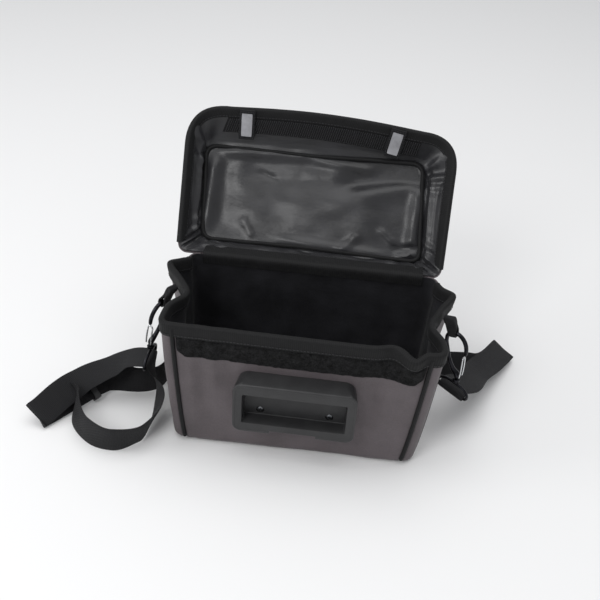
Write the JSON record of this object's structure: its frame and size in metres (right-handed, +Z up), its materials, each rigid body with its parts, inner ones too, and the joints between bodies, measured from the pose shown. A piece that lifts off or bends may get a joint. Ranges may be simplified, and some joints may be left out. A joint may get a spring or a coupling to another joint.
{
  "type": "bicycle handlebar bag",
  "caption": "Soft handlebar bag standing open, its tray lid thrown back, with a recessed handlebar plate on the front and a webbing shoulder strap on snap hooks.",
  "frame": {"origin": "middle of the underside, on the ground", "axes": "+Z up, X along the handlebar, -Y the front with the handlebar plate"},
  "size_m": [0.544, 0.2773, 0.2892],
  "materials": {
    "coated_cloth": "satin",
    "lining_cloth": "satin",
    "webbing": "matte",
    "pile_tape": "matte",
    "plastic": "matte",
    "reflector": "satin",
    "black_metal": "satin",
    "bright_wire": "polished"
  },
  "bodies": {
    "bag": {"front_panel": "coated_cloth", "right_gusset": "coated_cloth", "back_panel": "coated_cloth", "left_gusset": "coated_cloth", "base_panel": "coated_cloth", "lid_shell": "coated_cloth", "body_lining": "lining_cloth", "lid_lining": "lining_cloth", "piping_front_left": "webbing", "piping_front_right": "webbing", "piping_back_left": "webbing", "piping_back_right": "webbing", "rim_binding": "webbing", "lid_binding": "webbing", "lid_piping": "webbing", "tab_left": "webbing", "tab_right": "webbing", "hinge_binding": "webbing", "side_loop_left": "webbing", "side_loop_right": "webbing", "shoulder_strap": "webbing", "loop_strip": "pile_tape", "hook_strip": "pile_tape", "adapter_plate": "plastic", "strap_slider": "plastic", "tab_stripe_left": "reflector", "tab_stripe_right": "reflector", "hook_left": "black_metal", "hook_right": "black_metal", "swivel_left": "black_metal", "swivel_right": "black_metal", "ring_left": "black_metal", "ring_right": "black_metal", "plate_screw_left": "bright_wire", "plate_screw_right": "bright_wire"},
    "gate_left": {"gate_left": "bright_wire"},
    "gate_right": {"gate_right": "bright_wire"}
  },
  "joints": [
    {"name": "gate_left_hinge", "type": "hinge", "parent": "bag", "child": "gate_left", "pos_m": [-0.16768, -0.00747, 0.07979], "axis": [-0.8521, 0.492, 0.1786], "range_deg": [0, 25], "stiffness_Nm_per_rad": 0.15, "springref_deg": -5},
    {"name": "gate_right_hinge", "type": "hinge", "parent": "bag", "child": "gate_right", "pos_m": [0.17084, -0.00591, 0.07988], "axis": [-0.4997, -0.8655, -0.0344], "range_deg": [0, 25], "stiffness_Nm_per_rad": 0.15, "springref_deg": -5}
  ]
}
